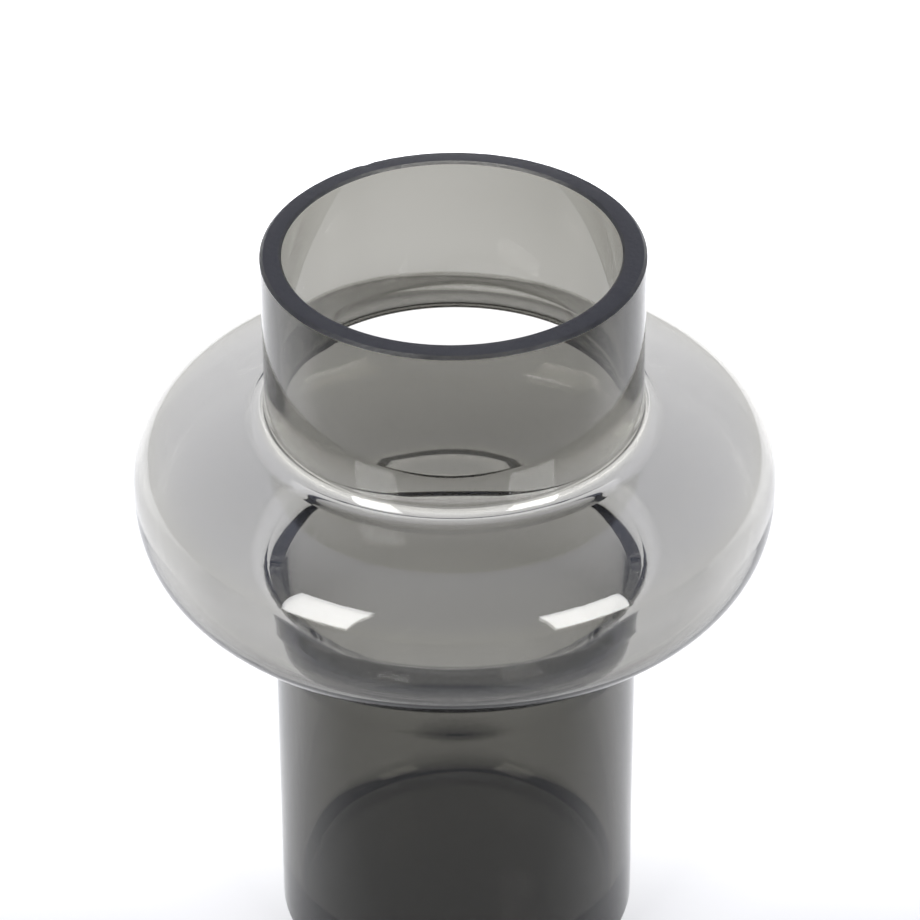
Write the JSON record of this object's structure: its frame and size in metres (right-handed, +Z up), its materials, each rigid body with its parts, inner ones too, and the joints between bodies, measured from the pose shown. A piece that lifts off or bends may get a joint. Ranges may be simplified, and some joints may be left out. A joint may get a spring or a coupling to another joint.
{
  "type": "glass cylinder vase",
  "caption": "Tall smoked-glass cylinder vase with an open neck, a ground flat rim and a wide hollow disc-shaped bulge below the neck.",
  "frame": {"origin": "centre of the vase's underside, on the surface that it stands on", "axes": "+Z up along the vase's axis, from the underside towards the rim; the vase is round, so +X and +Y are any two level directions square to each other"},
  "size_m": [0.2, 0.2, 0.25],
  "materials": {
    "smoked_glass": "clear smoked grey, polished",
    "ground_glass": "cut flat and finely ground, satin"
  },
  "bodies": {
    "root": {"ground_rim": "ground_glass", "neck": "smoked_glass", "neck_foot": "smoked_glass", "bulge_crown": "smoked_glass", "bulge_upper_shoulder": "smoked_glass", "bulge_upper_edge": "smoked_glass", "bulge_lower_edge": "smoked_glass", "bulge_lower_shoulder": "smoked_glass", "bulge_underside": "smoked_glass", "body_shoulder": "smoked_glass", "body_cylinder": "smoked_glass", "base": "smoked_glass"}
  },
  "joints": []
}
